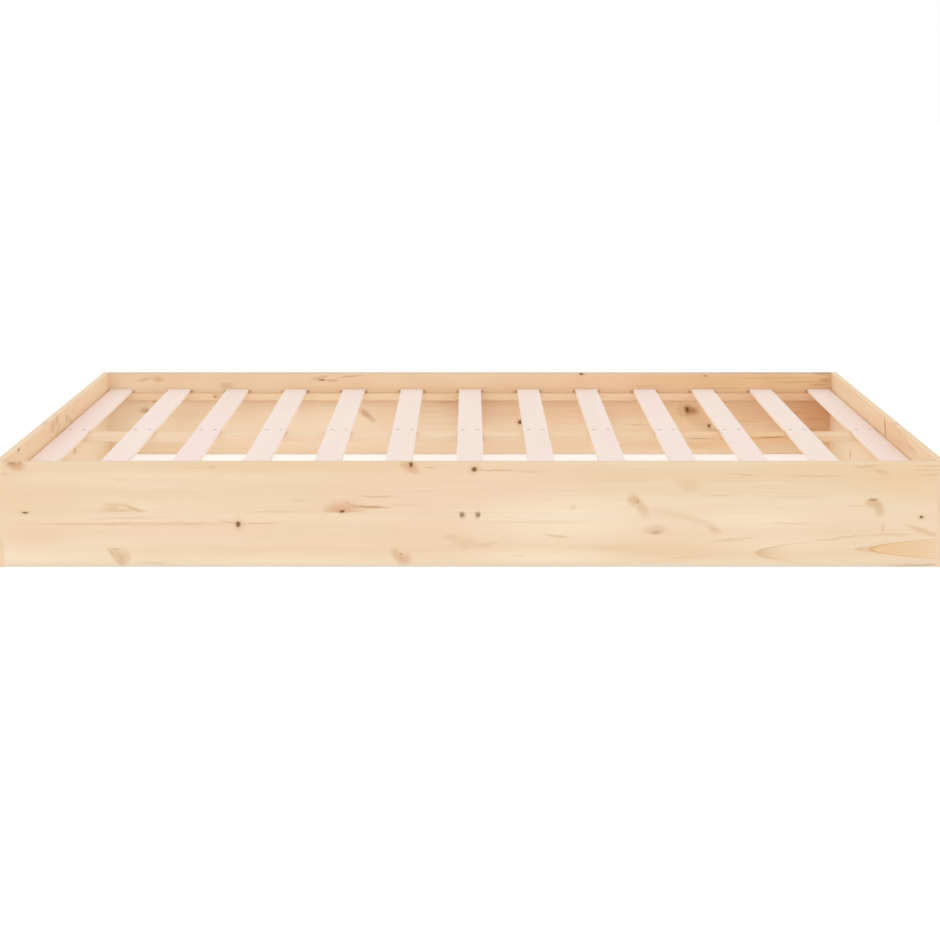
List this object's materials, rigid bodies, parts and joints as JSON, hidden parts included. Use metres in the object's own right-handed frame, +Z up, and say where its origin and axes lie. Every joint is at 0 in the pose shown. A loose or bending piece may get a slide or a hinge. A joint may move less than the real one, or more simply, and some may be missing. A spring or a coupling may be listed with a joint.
{
  "type": "bed frame",
  "caption": "Low box-shaped pine bed frame with standing rail boards, a recess for a mattress, and flat cross slats on ledges and a centre beam.",
  "frame": {"origin": "on the floor under the middle of the frame", "axes": "+X along the bed, -Y towards the side that the picture shows, +Z up"},
  "size_m": [2.036, 1.436, 0.23],
  "materials": {
    "rail_pine": "planed solid pine, edge-glued, knotty, untreated",
    "batten_pine": "planed solid pine, untreated",
    "slat_pine": "pale planed softwood, untreated",
    "dowel_beech": "turned beech",
    "zinc_steel": "zinc plated",
    "insert_brass": "turned brass",
    "glide_plastic": "moulded, matt"
  },
  "bodies": {
    "root": {"front_rail": "rail_pine", "back_rail": "rail_pine", "left_end_rail": "rail_pine", "right_end_rail": "rail_pine", "front_ledge": "batten_pine", "back_ledge": "batten_pine", "centre_beam": "batten_pine", "left_beam_seat": "batten_pine", "right_beam_seat": "batten_pine", "cross_rail": "batten_pine", "centre_leg": "batten_pine", "leg_insert": "insert_brass", "leg_stud": "zinc_steel", "leg_glide": "glide_plastic", "slat_1": "slat_pine", "slat_2": "slat_pine", "slat_3": "slat_pine", "slat_4": "slat_pine", "slat_5": "slat_pine", "slat_6": "slat_pine", "slat_7": "slat_pine", "slat_8": "slat_pine", "slat_9": "slat_pine", "slat_10": "slat_pine", "slat_11": "slat_pine", "slat_12": "slat_pine", "slat_13": "slat_pine", "corner_dowels": "dowel_beech", "corner_screws": "zinc_steel", "cross_rail_screws": "zinc_steel", "slat_screws": "zinc_steel", "ledge_screws": "zinc_steel", "beam_screws": "zinc_steel", "seat_screws": "zinc_steel"}
  },
  "joints": []
}
